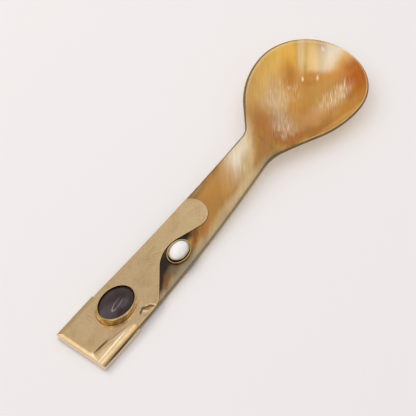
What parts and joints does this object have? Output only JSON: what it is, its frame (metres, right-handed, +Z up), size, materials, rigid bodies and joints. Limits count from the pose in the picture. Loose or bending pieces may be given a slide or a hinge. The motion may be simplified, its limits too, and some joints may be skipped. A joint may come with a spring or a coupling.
{
  "type": "horn serving spoon",
  "caption": "Serving spoon of pressed horn with a round-nosed bowl and a flat tapering handle, its end cased in folded brass sheet and set with an oval dark stone and an oval white stone.",
  "frame": {"origin": "under the middle of the spoon's length and of the bowl's width, on the surface it rests on", "axes": "+X from the handle end to the bowl's tip, +Y to the left seen from the handle end, +Z up out of the bowl"},
  "size_m": [0.2584, 0.071, 0.0136],
  "materials": {
    "horn": "polished cattle horn, amber to cream, translucent",
    "brass": "satin, rubbed by hand",
    "bezel": "polished",
    "dark_stone": "polished stone, dark mauve brown",
    "white_stone": "polished shell or glass, milk white"
  },
  "bodies": {
    "root": {"horn_spoon": "horn", "back_tray": "brass", "front_plate": "brass", "large_bezel": "bezel", "large_stone": "dark_stone", "small_bezel": "bezel", "small_stone": "white_stone"}
  },
  "joints": []
}
